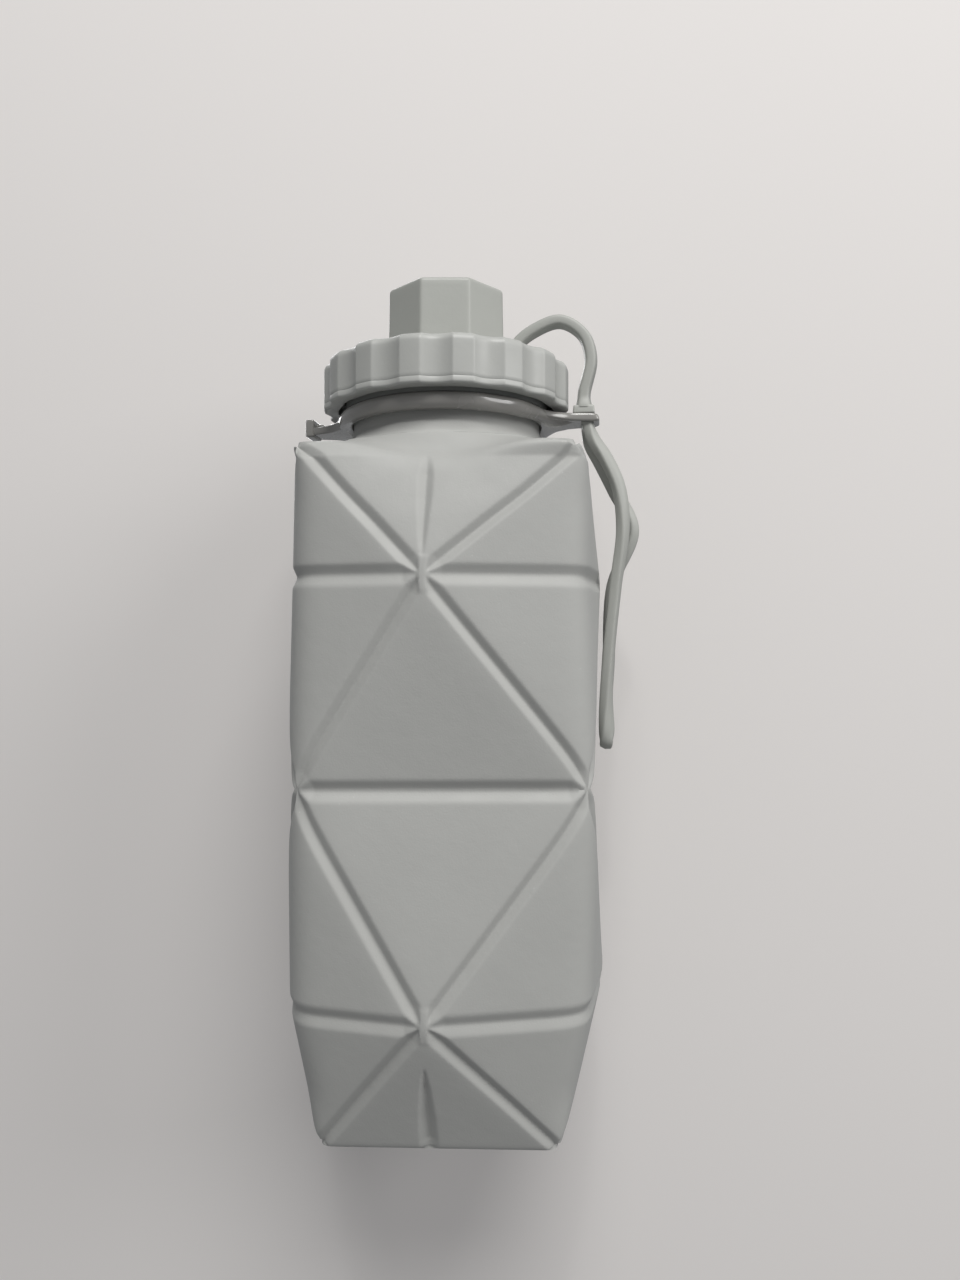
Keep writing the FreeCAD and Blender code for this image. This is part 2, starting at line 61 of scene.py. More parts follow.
MM = 0.001
TAU = 2 * math.pi
FAR = 1e3                                 # further than anything on the bottle

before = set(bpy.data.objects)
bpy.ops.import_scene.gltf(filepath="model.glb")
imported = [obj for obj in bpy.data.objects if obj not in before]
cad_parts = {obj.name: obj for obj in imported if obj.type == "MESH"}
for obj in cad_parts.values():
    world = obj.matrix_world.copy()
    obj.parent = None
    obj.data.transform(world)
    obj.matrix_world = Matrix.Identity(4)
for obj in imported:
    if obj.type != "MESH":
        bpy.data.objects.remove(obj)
cad_low, cad_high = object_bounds()


def box_mm(node):
    """Lowest and highest corner of a CAD node at rest, in millimetres."""
    low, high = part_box(node)
    return np.array(low) / MM, np.array(high) / MM


# ---------------------------------------------------------------- numbers

def smoothstep(low, high, value):
    """0 at low, 1 at high, an S between them; low may be the larger."""
    t = np.clip((value - low) / (high - low), 0.0, 1.0)
    return t * t * (3 - 2 * t)


def soft_max(values, power):
    """The largest of several values, none below zero, with a rounded change from one to the next."""
    return sum(np.maximum(one, 0) ** power for one in values) ** (1 / power)


def graph(points, value):
    """Height of a broken line through (place, height) points."""
    places, heights = zip(*points)
    return np.interp(value, places, heights)


def gaussian_rows(points, along, sigma):
    """Smooths a grid down its rows, whose places along the surface are given."""
    spacing = np.gradient(along)
    weight = np.exp(-0.5 * ((along[:, None] - along[None, :]) / sigma) ** 2) * spacing[None, :]
    weight /= weight.sum(axis=1, keepdims=True)
    return np.tensordot(weight, points, axes=(1, 0))


def gaussian_columns(points, sigma_columns):
    """Smooths a grid round its closed columns; sigma is in columns."""
    frequency = np.fft.fftfreq(points.shape[1])
    response = np.exp(-2 * (math.pi * frequency * sigma_columns) ** 2)
    spectrum = np.fft.fft(points, axis=1)
    return np.real(np.fft.ifft(spectrum * response[None, :, None], axis=1))


def grid_normals(points):
    """Outward unit normals of a grid whose columns run counter-clockwise and whose rows run up."""
    across = np.roll(points, -1, axis=1) - np.roll(points, 1, axis=1)
    up = np.gradient(points, axis=0)
    normal = np.cross(across, up)
    return normal / np.maximum(np.linalg.norm(normal, axis=2, keepdims=True), 1e-9)


# ---------------------------------------------------------------- meshes

def new_object(name, vertices, faces, material, sharp_degrees=45):
    """A smooth-shaded mesh object from millimetre vertices; edges sharper than the angle stay crisp."""
    mesh = bpy.data.meshes.new(name)
    mesh.from_pydata((np.asarray(vertices) * MM).tolist(), [], faces)
    mesh.validate()
    mesh.shade_smooth()
    mesh.set_sharp_from_angle(angle=math.radians(sharp_degrees))
    mesh.materials.append(material)
    made = bpy.data.objects.new(name, mesh)
    bpy.context.scene.collection.objects.link(made)
    return made


def grid_faces(rows, columns, close_rows=False, slash=None):
    """Faces of a grid that is closed along its columns; slash chooses each cell's diagonal, if it has one."""
    last = rows if close_rows else rows - 1
    i, j = np.meshgrid(np.arange(last), np.arange(columns), indexing="ij")
    a = i * columns + j
    b = i * columns + (j + 1) % columns
    c = (i + 1) % rows * columns + (j + 1) % columns
    d = (i + 1) % rows * columns + j
    if slash is None:
        return np.stack([a, b, c, d], axis=-1).reshape(-1, 4).tolist()
    one = np.where(slash[..., None], np.stack([a, b, c], -1), np.stack([a, b, d], -1))
    two = np.where(slash[..., None], np.stack([a, c, d], -1), np.stack([b, c, d], -1))
    return np.concatenate([one.reshape(-1, 3), two.reshape(-1, 3)]).tolist()


def fan(centre, ring, turned_over):
    """Triangles from a centre vertex to a closed ring of vertices."""
    pairs = zip(ring, np.roll(ring, -1))
    return [(centre, int(b), int(a)) if turned_over else (centre, int(a), int(b)) for a, b in pairs]


def closed_grid(points, slash=None):
    """Vertices and faces of a grid whose first and last rows are closed by fans."""
    rows, columns = points.shape[:2]
    vertices = points.reshape(-1, 3)
    first, last = len(vertices), len(vertices) + 1
    vertices = np.concatenate([vertices, [points[0].mean(0)], [points[-1].mean(0)]])
    faces = grid_faces(rows, columns, slash=slash)
    faces += fan(first, np.arange(columns), True)
    faces += fan(last, np.arange(columns) + (rows - 1) * columns, False)
    return vertices, faces


def bevelled_box(name, centre, sides, bevel, material, taper=1.0):
    """A box with rounded edges; taper scales its top."""
    mesh = bmesh.new()
    bmesh.ops.create_cube(mesh, size=1.0)
    for vertex in mesh.verts:
        scale = taper if vertex.co.z > 0 else 1.0
        vertex.co = [vertex.co[0] * sides[0] * scale + centre[0],
                     vertex.co[1] * sides[1] * scale + centre[1],
                     vertex.co[2] * sides[2] + centre[2]]
    bmesh.ops.bevel(mesh, geom=mesh.edges[:], offset=bevel, segments=4, profile=0.6, affect="EDGES")
    mesh.verts.index_update()
    vertices = [tuple(v.co) for v in mesh.verts]
    faces = [[v.index for v in f.verts] for f in mesh.faces]
    mesh.free()
    return new_object(name, np.array(vertices), faces, material, 50)


# ---------------------------------------------------------------- materials

# Texture scales in features per metre.
PALE_PATCHES = 26.0
DARK_PATCHES = 61.0
GLOSS_PATCHES = 140.0
SOFT_BUMPS = 330.0
DUST = 330.0
# Pointiness is 0.5 on a flat surface, more on outward edges and less in creases. Each pair says where
# the paler worn edges, and the painted shade in creases, start and where they are full.
EDGE_POINTINESS = (0.505, 0.56)
CREASE_SHADE_POINTINESS = (0.495, 0.44)
DUST_COLOUR = (0.75, 0.75, 0.73)
DUST_SIZE = (0.045, 0.03)                 # outer and inner end of a speck's soft edge
PATCH_STRENGTH = 0.14
COAT_ROUGHNESS = 0.10


def add_node(tree, kind, **values):
    """A new node; each value sets the node's property of that name, or else its input of that name."""
    made = tree.nodes.new(kind)
    for key, value in values.items():
        if hasattr(made, key):
            setattr(made, key, value)
        else:
            made.inputs[key.replace("_", " ")].default_value = value
    return made


def empty_material(name):
    """A new material and its node tree, with no nodes in it."""
    material = bpy.data.materials.new(name)
    material.use_nodes = True
    material.node_tree.nodes.clear()
    return material, material.node_tree


def moulded(name, colour, roughness, grain=0.10, grain_scale=2600.0, sheen=0.0, wear_and_crease_shade=0.05,
            specks=0.0, clear=0.0):
    """A moulded rubber or plastic: colour drift, fine grain, paler worn edges, painted shade in the creases,
    dust and uneven gloss.
    """
    material, tree = empty_material(name)
    link = tree.links.new
    place = add_node(tree, "ShaderNodeTexCoord").outputs["Object"]

    def noise(scale, detail=3.0):
        made = add_node(tree, "ShaderNodeTexNoise", Scale=scale, Detail=detail)
        link(place, made.inputs["Vector"])
        return made.outputs["Fac"]

    def mapped(source, low, high, to_low, to_high):
        made = add_node(tree, "ShaderNodeMapRange")
        for index, value in enumerate((low, high, to_low, to_high), start=1):
            made.inputs[index].default_value = value
        link(source, made.inputs[0])
        return made.outputs[0]

    def tinted(source_colour, amount, target):
        made = add_node(tree, "ShaderNodeMix", data_type="RGBA")
        link(amount, made.inputs[0])
        link(source_colour, made.inputs[6])
        made.inputs[7].default_value = (*target, 1)
        return made.outputs[2]

    edges = wear_and_crease_shade * 5
    base = add_node(tree, "ShaderNodeRGB")
    base.outputs[0].default_value = (*colour, 1)
    pale = [min(1.0, c * 1.22 + 0.02) for c in colour]
    dark = [c * 0.80 for c in colour]
    shade = tinted(base.outputs[0], mapped(noise(PALE_PATCHES), 0.35, 0.75, 0.0, PATCH_STRENGTH), pale)
    shade = tinted(shade, mapped(noise(DARK_PATCHES), 0.40, 0.80, 0.0, PATCH_STRENGTH), dark)
    pointiness = add_node(tree, "ShaderNodeNewGeometry").outputs["Pointiness"]
    shade = tinted(shade, mapped(pointiness, *EDGE_POINTINESS, 0.0, edges), pale)
    # Painted shade: the creases are darkened by pointiness, standing in for the shade that gathers in them.
    shade = tinted(shade, mapped(pointiness, *CREASE_SHADE_POINTINESS, 0.0, edges), dark)
    if specks:
        dots = add_node(tree, "ShaderNodeTexVoronoi", Scale=DUST)
        link(place, dots.inputs["Vector"])
        shade = tinted(shade, mapped(dots.outputs["Distance"], *DUST_SIZE, 0.0, specks), DUST_COLOUR)

    shader = add_node(tree, "ShaderNodeBsdfPrincipled", Sheen_Weight=sheen, Sheen_Roughness=0.5,
                      Coat_Weight=clear, Coat_Roughness=COAT_ROUGHNESS, Specular_IOR_Level=0.42)
    gloss = mapped(noise(GLOSS_PATCHES), 0.3, 0.7, roughness - 0.05, roughness + 0.06)
    fine = add_node(tree, "ShaderNodeBump", Strength=grain, Distance=0.0002)
    soft = add_node(tree, "ShaderNodeBump", Strength=grain * 0.6, Distance=0.0006)
    link(noise(grain_scale, 4.0), fine.inputs["Height"])
    link(noise(SOFT_BUMPS), soft.inputs["Height"])
    link(fine.outputs[0], soft.inputs["Normal"])
    link(shade, shader.inputs["Base Color"])
    link(gloss, shader.inputs["Roughness"])
    link(soft.outputs[0], shader.inputs["Normal"])
    link(shader.outputs[0], add_node(tree, "ShaderNodeOutputMaterial").inputs["Surface"])
    return material


SILICONE = moulded("silicone_matte", (0.366, 0.369, 0.356), 0.58, grain=0.16, sheen=0.05, specks=0.25)
RUBBER = moulded("silicone_strap", (0.345, 0.352, 0.330), 0.44, grain=0.12, wear_and_crease_shade=0.06)
# Painted shade: the ring's silicone is coloured far darker than the body's, standing in for the shadow under
# the lid.
RING = moulded("silicone_glossy_painted_shade", (0.215, 0.210, 0.198), 0.24, grain=0.05, clear=0.80)
LID = moulded("lid_plastic", (0.378, 0.384, 0.368), 0.40, grain_scale=1500.0)
CAP = moulded("cap_plastic", (0.350, 0.358, 0.335), 0.42, grain_scale=1500.0)
# Painted shade: the insert's grey is darkened to stand in for the shade where it shows between the lid and
# the ring.
INSERT = moulded("insert_plastic", (0.38, 0.39, 0.37), 0.36, grain=0.05)
SEAL = moulded("seal_silicone", (0.66, 0.67, 0.65), 0.48, grain=0.08)


# ---------------------------------------------------------------- soft body: sizes

HALF = 80           # columns from the middle of a face to a corner
COLUMNS = 8 * HALF
BASE = (0.0, 28.8)                        # a square level: height, half width
LOW_STAR = (34.0, 41.6, 34.5)             # a star level: height, middle of the face, corner
MIDDLE = (85.5, 35.3)
HIGH_STAR = (134.6, 40.9, 33.8)
RIM = (166.0, 33.7)
# From the base up: star level, square level, whether the star level is the lower one.
ZONES = ((LOW_STAR, BASE, False), (LOW_STAR, MIDDLE, True),
         (HIGH_STAR, MIDDLE, False), (HIGH_STAR, RIM, True))
STAR_OFFSET = -3.4                        # the stars sit to one side of the middle of every face
WALL = 1.8
FLOOR = 4.5                               # top of the floor inside

FOOT_HOLLOW = 0.9                         # how far the middle of the underside stands clear
FOOT_EDGE = (0.70, 0.76)                  # shares of the base between which the hollow ends
KNEE = (0.8, 1.6)                         # where the shoulder bends: outside the sleeve, above the rim
SLEEVE_RADIUS = 24.6
SLEEVE_FOOT = 173.4
SLEEVE_TOP = 176.9

SPLIT_HEIGHT = 168.6                      # where the folding body meets the shoulder
SEAM_GAP = 0.03
SEAM_ROWS = 6                             # rows over which the wall thins towards that seam
SEAM_WALL = 0.015                         # share of the wall that is left at the seam
LINING_ROWS = 3                           # the lining has one row for this many outside

FACE_WIDTH = 72.0                         # an average face, which sets the columns' spacing
WALL_ROUND = 4.6                          # smoothing round the body, and tighter at its two ends
END_ROUND = 2.3
LEVEL_ROUND = 1.1                         # smoothing up the body, and looser in mid-face by the rim
RIM_ROUND = 4.0
RIM_DIP = 3.0                             # how far the rim sinks in the middle of each face
# Bands as (none, full): heights, or shares of a face away from its middle.
FOOT_BAND, TOP_BAND = (16, 2), (150, 166)         # the tighter smoothing at the two ends
RIM_START, RIM_END = (150, 160), (175, 171.5)     # the looser smoothing by the rim
RIM_MIDDLE = (0.34, 0.04)
DIP_START = (146, 165)
DIP_MIDDLE = (0.42, 0.02)
# The soft body sits slightly twisted against the ears: radians at each height.
TURNS = tuple(zip((0.0, 34.0, 85.5, 134.6, 162.0, 172.0), np.radians((6.2, 7.0, 8.4, 6.5, 7.8, 0.0))))

LEVEL_GROOVE = (2.40, 1.35)               # half width, depth
SLANT_GROOVE = (2.00, 1.25)
NARROWING = 4.6                           # grooves narrow within this distance of a star or a corner
NARROWEST = 0.22
MOST_LEAN = 3                             # limit on how far across a slanted crease runs for each step up
# The upright crease above each high star, a leaf, and below each low star, a wedge: (height, value).
LEAF_OFFSET = -3.1
LEAF_HALF_WIDTH = ((138.0, 0.5), (143.0, 1.0), (152.0, 1.7), (157.0, 1.8), (161.5, 1.2), (163.5, 0.4))
LEAF_DEPTH = ((138.0, 0.0), (142.0, 0.55), (152.0, 1.0), (158.0, 0.85), (163.0, 0.0))
WEDGE_OFFSET = -2.1
WEDGE_HALF_WIDTH = ((0.0, 2.2), (9.0, 2.0), (17.0, 1.3), (22.5, 0.5), (23.5, 0.3))
WEDGE_DEPTH = ((0.0, 0.6), (3.0, 1.4), (9.0, 1.5), (18.0, 1.0), (22.0, 0.4), (23.5, 0.0))
# The small upright bar in the middle of each star.
BAR_HALF_WIDTH = (1.15, 0.75)             # outer and inner end of its soft edge
BAR_HALF_HEIGHT = (4.4, 3.7)
BAR_STAND = 0.10

face_share = (np.arange(2 * HALF) - HALF) / (2 * HALF)     # -0.5 at one corner, 0 in the middle of a face
column_share = np.tile(face_share, 4)


# ---------------------------------------------------------------- soft body: rows

def quarter_turns(across, out, height):
    """Four faces round Z from one face's points: across runs right, out stands out, at one height."""
    faces = []
    for turn in range(4):
        c, s = math.cos(turn * math.pi / 2), math.sin(turn * math.pi / 2)
        faces.append(np.stack([across * c + out * s, across * s - out * c], axis=-1))
    ring = np.concatenate(faces, axis=0)
    return np.column_stack([ring, np.full(len(ring), height)])


def creased_row(star, square, share):
    """One level between a star level (share 0) and a square level (share 1)."""
    (star_height, middle, corner), (square_height, half) = star, square
    w = np.abs(face_share)
    slant_across, slant_out = share * half, middle + share * (half - middle)
    edge = corner + share * (half - corner)
    blend = np.clip((w - 0.5 * share) / max(0.5 - 0.5 * share, 1e-9), 0, 1)
    across = np.where(w <= 0.5 * share, 2 * w * half, slant_across + blend * (edge - slant_across))
    across = np.sign(face_share) * across + STAR_OFFSET * (1 - share) * (1 - blend)
    out = slant_out + blend * (edge - slant_out)
    return quarter_turns(across, out, star_height + share * (square_height - star_height))


def soft_body_rows():
    """All rows from the middle of the underside to the top of the sleeve.

    With them come each row's share (below zero where it has no creases), whether its slanted creases spread
    upwards, and the number of the rim's row.
    """
    rows, share, rising = [], [], []

    def add(row, row_share=-1.0, row_rising=True):
        rows.append(row)
        share.append(row_share)
        rising.append(row_rising)

    base = creased_row(LOW_STAR, BASE, 1.0)
    for scale in np.concatenate([np.linspace(0.02, FOOT_EDGE[0], 12), np.linspace(0.72, 0.985, 26)]):
        foot = base * [scale, scale, 1]
        foot[:, 2] = FOOT_HOLLOW * (1 - smoothstep(*FOOT_EDGE, scale))
        add(foot)
    steps = np.arange(HALF) / HALF
    for star, square, zone_rising in ZONES:
        for step in steps:
            zone_share = step if zone_rising else 1 - step
            add(creased_row(star, square, zone_share), zone_share, zone_rising)
    rim_row = len(rows)
    rim = creased_row(HIGH_STAR, RIM, 1.0)
    add(rim, 1.0)

    heading = rim[:, :2] / np.linalg.norm(rim[:, :2], axis=1, keepdims=True)
    knee = np.column_stack([heading * (SLEEVE_RADIUS + KNEE[0]), np.full(COLUMNS, RIM[0] + KNEE[1])])
    foot = np.column_stack([heading * SLEEVE_RADIUS, np.full(COLUMNS, SLEEVE_FOOT)])
    for t in np.linspace(0, 1, 30)[1:]:
        add(rim * (1 - t) ** 2 + knee * 2 * t * (1 - t) + foot * t * t)
    for height in np.linspace(SLEEVE_FOOT, SLEEVE_TOP, 9)[1:]:
        add(np.column_stack([heading * SLEEVE_RADIUS, np.full(COLUMNS, height)]))
    return np.array(rows), np.array(share), np.array(rising), rim_row


def rounded_skin(points):
    """The faceted rows with every edge rounded."""
    steps = np.linalg.norm(np.diff(points[:, HALF], axis=0), axis=1)
    along = np.concatenate([[0], np.cumsum(steps)])
    spacing = FACE_WIDTH / (2 * HALF)
    height = points[:, :1, 2:]
    ends = np.maximum(smoothstep(*FOOT_BAND, height), smoothstep(*TOP_BAND, height))
    wide = gaussian_columns(points, WALL_ROUND / spacing)
    tight = gaussian_columns(points, END_ROUND / spacing)
    smooth = wide * (1 - ends) + tight * ends

    middle = smoothstep(*RIM_MIDDLE, np.abs(column_share))[None, :, None]
    near_rim = smoothstep(*RIM_START, height) * smoothstep(*RIM_END, height)
    firm = gaussian_rows(smooth, along, LEVEL_ROUND)
    loose = gaussian_rows(smooth, along, RIM_ROUND)
    smooth = firm * (1 - middle * near_rim) + loose * middle * near_rim
    smooth[0] = points[0]
    smooth[-3:] = points[-3:]
    return smooth


def dipped_and_turned(points, split_height):
    """The skin with its rim sunk in mid-face, its underside at zero and each level turned about Z."""
    level = points[:, :, 2]
    dip = RIM_DIP * smoothstep(*DIP_START, level) * smoothstep(split_height, RIM[0] + 0.2, level)
    height = level - dip * smoothstep(*DIP_MIDDLE, np.abs(column_share))[None, :]
    height = height - height.min()
    turn = graph(TURNS, height)
    c, s = np.cos(turn), np.sin(turn)
    x, y = points[:, :, 0], points[:, :, 1]
    return np.stack([x * c - y * s, x * s + y * c, height], axis=-1)


# ---------------------------------------------------------------- soft body: creases

def valley(distance, half_width):
    """A V of about unit depth with a slightly rounded bottom and lips."""
    bottom_round, lip_round = 0.12, 0.10
    inner = 1 - np.sqrt((distance / half_width) ** 2 + bottom_round ** 2) + 0.02
    return 0.5 * (inner + np.sqrt(inner ** 2 + lip_round ** 2)) - 0.0025


def across_face(points):
    """Signed distance of every point from the middle of its face, along its row."""
    step = np.linalg.norm(np.roll(points, -1, axis=1) - points, axis=2)
    signed = np.zeros_like(step)
    for face in np.arange(COLUMNS).reshape(4, 2 * HALF):
        walk = np.cumsum(step[:, face], axis=1) - step[:, face]
        signed[:, face] = walk - walk[:, HALF:HALF + 1]
    return signed


def slant_places(across, share):
    """How far from the middle of the face the slanted crease on a point's own side lies, in its row."""
    slant = np.zeros((len(across), 2))
    for row in range(len(across)):
        for side, cells in enumerate((np.arange(HALF, -1, -1), np.arange(HALF, 2 * HALF))):
            slant[row, side] = np.interp(0.5 * share[row], np.abs(face_share[cells]), across[row, cells])
    slant = np.where(column_share[None, :] >= 0, slant[:, 1:], slant[:, :1])
    return np.where(share[:, None] >= 0, slant, FAR)


def groove_depth(points, share):
    """How far every point sinks into the body's creases."""
    height = points[:, :, 2]
    signed = across_face(points)
    across = np.abs(signed)
    creased = share[:, None] >= 0
    corner = np.where(column_share[None, :] >= 0, across[:, 2 * HALF - 1:2 * HALF], across[:, :1])
    to_corner = np.hypot(np.abs(corner - across), height - MIDDLE[0])
    to_star = np.minimum(np.hypot(across, height - LOW_STAR[0]), np.hypot(across, height - HIGH_STAR[0]))
    narrow = np.clip(np.minimum(to_star, to_corner) / NARROWING, NARROWEST, 1.0)

    depths = []
    half_width, depth = LEVEL_GROOVE
    for level in (LOW_STAR[0], MIDDLE[0], HIGH_STAR[0]):
        depths.append(depth * narrow * valley(height - level, half_width * narrow))

    half_width, depth = SLANT_GROOVE
    slant = slant_places(across, share)
    lean = np.gradient(slant, axis=0) / np.maximum(np.abs(np.gradient(height, axis=0)), 1e-6)
    lean = np.clip(np.where(creased, lean, 0), -MOST_LEAN, MOST_LEAN)
    slant_gap = np.abs(across - slant) / np.sqrt(1 + lean ** 2)
    depths.append(depth * narrow ** 0.6 * valley(slant_gap, half_width * narrow ** 0.6))

    offset = np.where(height > MIDDLE[0], LEAF_OFFSET, WEDGE_OFFSET)
    beside = np.abs(signed - offset * np.clip(share[:, None], 0, 1))
    depths.append(graph(LEAF_DEPTH, height) * valley(beside, graph(LEAF_HALF_WIDTH, height)))
    wedge_depth = np.where(creased, graph(WEDGE_DEPTH, height), 0)
    depths.append(wedge_depth * valley(beside, graph(WEDGE_HALF_WIDTH, height)))

    total = soft_max(depths, 6)
    for level in (LOW_STAR[0], HIGH_STAR[0]):
        bar = smoothstep(*BAR_HALF_WIDTH, across) * smoothstep(*BAR_HALF_HEIGHT, np.abs(height - level))
        total = total * (1 - bar) - BAR_STAND * bar
    return total * smoothstep(-1.0, 0.3, share[:, None])


# ---------------------------------------------------------------- soft body: pieces

def make_soft_body():
    """The folding body and the shoulder above it, with the height where they meet."""
    points, share, rising, rim_row = soft_body_rows()
    smooth = rounded_skin(points)
    split_row = rim_row + int(np.argmax(smooth[rim_row:, 0, 2] > SPLIT_HEIGHT))
    smooth[split_row, :, 2] = smooth[split_row, :, 2].mean()
    smooth = dipped_and_turned(smooth, smooth[split_row, 0, 2])

    outward = grid_normals(smooth)
    outer = smooth - outward * groove_depth(smooth, share)[:, :, None]
    outer[:, :, 2] = np.maximum(outer[:, :, 2], 0)
    wall = WALL * np.clip(np.abs(np.arange(len(smooth)) - split_row) / SEAM_ROWS, SEAM_WALL, 1)
    inner = smooth - outward * wall[:, None, None]
    floor_row = int(np.argmax(smooth[:, 0, 2] > FLOOR))
    slash = (column_share[None, :] >= 0) == rising[:, None]

    body = make_folding_body(outer, inner, slash, floor_row, split_row)
    shoulder = make_shoulder(outer, inner, split_row)
    return body, shoulder, smooth[split_row, 0, 2]


def make_folding_body(outer, inner, slash, floor_row, split_row):
    """Outside up to the seam, lining down to the floor, then the floor to its middle."""
    down = np.arange(split_row, floor_row, -LINING_ROWS)
    floor = [inner[down[-1]] * [scale, scale, 1] for scale in (0.75, 0.4, 0.05)]
    rows = np.concatenate([outer[:split_row + 1], inner[down], floor])
    plain = np.zeros((len(rows) - 1 - split_row, COLUMNS), bool)
    vertices, faces = closed_grid(rows, np.concatenate([slash[:split_row], plain]))
    return new_object("silicone_body", vertices, faces, SILICONE)


def make_shoulder(outer, inner, split_row):
    """Outside from the seam to the sleeve's top, and its lining back down."""
    top = len(outer) - 1
    down = np.arange(top, split_row - 1, -LINING_ROWS)
    if down[-1] != split_row:
        down = np.append(down, split_row)
    lining = inner[down].copy()
    scale = (SLEEVE_RADIUS - WALL) / SLEEVE_RADIUS
    lining[0] = outer[top] * [scale, scale, 1]
    rows = np.concatenate([outer[split_row:], lining])
    rows[0, :, 2] += SEAM_GAP
    rows[-1, :, 2] += SEAM_GAP
    faces = grid_faces(len(rows), COLUMNS, close_rows=True)
    return new_object("silicone_shoulder", rows.reshape(-1, 3), faces, SILICONE)


# ---------------------------------------------------------------- turned pieces

# Thread ridges: first height, rise, pitch, half width at the root, half width at the tip, stand.
SPOUT_THREAD = (195.7, 6.6, 3.0, 0.5, 0.25, 0.95)
LID_THREAD = (180.6, 5.2, 4.0, 0.65, 0.3, 1.35)
CAP_THREAD = (194.2, 6.0, 3.0, 0.5, 0.25, 0.95)
ON_WALL = 0.02                            # how near to a threaded wall's radius a point counts as on it


def helix_ridge(theta, height, start, rise, pitch, root, tip, stand):
    """Height of a helical ridge above its shaft at each angle and height."""
    result = np.zeros(np.broadcast(theta, height).shape)
    for k in range(int(rise / pitch) + 2):
        turns = theta / TAU + k
        gap = np.abs(height - start - turns * pitch)
        ridge = stand * np.clip((root - gap) / (root - tip), 0, 1)
        result = np.maximum(result, np.where(turns * pitch <= rise, ridge, 0))
    return result


def profile(points, spacing):
    """Points along a polyline of (radius, height), no further apart than the spacing, without its end."""
    out = []
    for (r0, z0), (r1, z1) in zip(points, points[1:]):
        count = max(1, int(math.ceil(math.hypot(r1 - r0, z1 - z0) / spacing)))
        out += [(r0 + (r1 - r0) * i / count, z0 + (z1 - z0) * i / count) for i in range(count)]
    return out


def arc(centre_r, centre_z, radius, start, end, count):
    """Points of a quarter round in a profile, angles in degrees."""
    angles = np.radians(np.linspace(start, end, count))
    return [(centre_r + radius * math.cos(a), centre_z + radius * math.sin(a)) for a in angles]


def turned(name, rows, columns, material, reshape=None, from_axis=False):
    """A skin turned about Z from (radius, height) rows round its section.

    reshape moves the radius by angle. A section from_axis starts and ends beside the axis, closed there.
    """
    rows = np.array(rows)
    theta = np.arange(columns) * TAU / columns
    radius = np.repeat(rows[:, :1], columns, axis=1)
    height = np.repeat(rows[:, 1:], columns, axis=1)
    if reshape:
        radius = reshape(theta[None, :], radius, height)
    points = np.stack([radius * np.cos(theta), radius * np.sin(theta), height], axis=-1)
    if from_axis:
        vertices, faces = closed_grid(points)
    else:
        vertices, faces = points.reshape(-1, 3), grid_faces(len(rows), columns, close_rows=True)
    return new_object(name, vertices, faces, material, 35)


LID_TURN = math.radians(5.7)
LID_RADIUS, LID_BORE = 32.3, 28.6
LID_TOP, LID_CEILING = 191.4, 189.4
LID_HEM, LID_SHOULDER = 0.5, 2.0          # radii of the lower and upper outside edges
SPOUT_RADIUS, SPOUT_BORE = 9.8, 6.5
SPOUT_ROOT, SPOUT_LIP = 0.6, 0.4          # radii of the spout's fillet and of its mouth
PARTING_LINE = (1.6, 0.12, 0.07)          # height above the hem, half width, depth
FLUTES = 16
FLUTE_SPAN = math.radians(13.6)
FLUTE_DEPTH = 1.15
FLUTE_FADE = (27.5, 31.0)                 # radii between which the flutes run out on the lid's top


def lid_section(bottom, spout_top):
    """The lid's section from the bore's lower edge, round the outside and the spout, back into the bore."""
    parting, line_half, line_depth = PARTING_LINE
    parting += bottom
    rows = profile([(LID_BORE, bottom), (LID_RADIUS - LID_HEM, bottom)], 0.8)
    rows += arc(LID_RADIUS - LID_HEM, bottom + LID_HEM, LID_HEM, -90, 0, 4)
    rows += profile([(LID_RADIUS, bottom + 0.6), (LID_RADIUS, parting - line_half),
                     (LID_RADIUS - line_depth, parting), (LID_RADIUS, parting + line_half),
                     (LID_RADIUS, LID_TOP - 2.1)], 0.9)
    rows += arc(LID_RADIUS - LID_SHOULDER, LID_TOP - LID_SHOULDER, LID_SHOULDER, 0, 90, 9)
    rows += profile([(LID_RADIUS - 2.3, LID_TOP), (SPOUT_RADIUS + SPOUT_ROOT, LID_TOP)], 1.5)
    rows += arc(SPOUT_RADIUS + SPOUT_ROOT, LID_TOP + SPOUT_ROOT, SPOUT_ROOT, 270, 180, 4)
    rows += profile([(SPOUT_RADIUS, LID_TOP + 0.8), (SPOUT_RADIUS, spout_top - 0.5)], 0.22)
    rows += arc(SPOUT_RADIUS - SPOUT_LIP, spout_top - SPOUT_LIP, SPOUT_LIP, 0, 90, 4)
    rows += profile([(SPOUT_RADIUS - 0.6, spout_top), (SPOUT_BORE + 0.3, spout_top),
                     (SPOUT_BORE, spout_top - 0.3), (SPOUT_BORE, LID_CEILING), (LID_BORE, LID_CEILING)], 1.5)
    return rows + profile([(LID_BORE, LID_CEILING), (LID_BORE, bottom + 0.2)], 0.3)


def make_lid():
    """The scalloped lid with its spout, threaded inside and on the spout."""
    low, high = box_mm("lid")
    bottom, spout_top = low[2], high[2]

    def reshape(theta, radius, height):
        pitch = TAU / FLUTES
        phase = np.mod(theta - LID_TURN + pitch / 2, pitch) - pitch / 2
        hollow = np.clip(1 - (2 * phase / FLUTE_SPAN) ** 2, 0, 1) * FLUTE_DEPTH
        changed = radius - hollow * smoothstep(*FLUTE_FADE, radius)
        angle = np.mod(theta - LID_TURN, TAU)
        on_spout = np.abs(radius - SPOUT_RADIUS) < ON_WALL
        on_bore = (np.abs(radius - LID_BORE) < ON_WALL) & (height > bottom + 0.1)
        changed = changed + np.where(on_spout, helix_ridge(angle, height, *SPOUT_THREAD), 0)
        return changed - np.where(on_bore, helix_ridge(angle, height, *LID_THREAD), 0)

    columns = 768
    lid = turned("lid_shell", lid_section(bottom, spout_top), columns, LID, reshape)
    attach(lid, "lid")
    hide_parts("lid")


